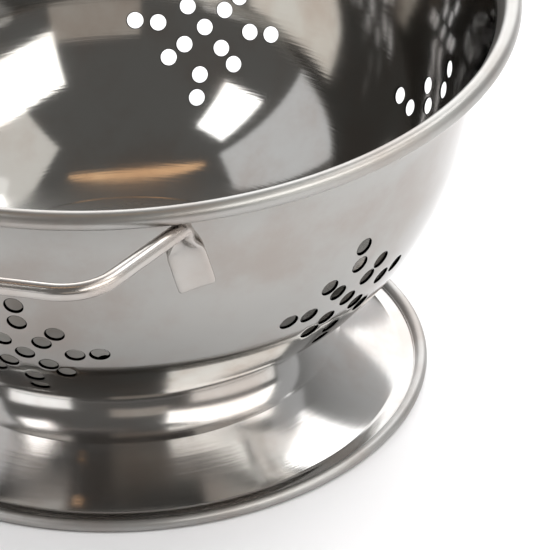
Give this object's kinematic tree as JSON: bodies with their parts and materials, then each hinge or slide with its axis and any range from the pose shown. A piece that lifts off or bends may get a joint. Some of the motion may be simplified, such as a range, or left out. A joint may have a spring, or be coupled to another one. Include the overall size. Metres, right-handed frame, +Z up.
{
  "type": "colander",
  "caption": "Footed stainless-steel colander: a round perforated bowl with a rolled rim, a flared pedestal foot and a round-wire loop handle at each side.",
  "frame": {"origin": "centre of the circle on which the foot stands, on the table plane", "axes": "+Z up along the bowl's axis, +X through the middle of handle_right, +Y completes a right-handed frame"},
  "size_m": [0.29, 0.24, 0.1258],
  "materials": {
    "bowl_steel": "polished stainless sheet",
    "foot_steel": "polished stainless sheet",
    "handle_steel": "polished stainless wire"
  },
  "bodies": {
    "root": {"bowl": "bowl_steel", "foot": "foot_steel", "handle_right": "handle_steel", "handle_left": "handle_steel"}
  },
  "joints": []
}
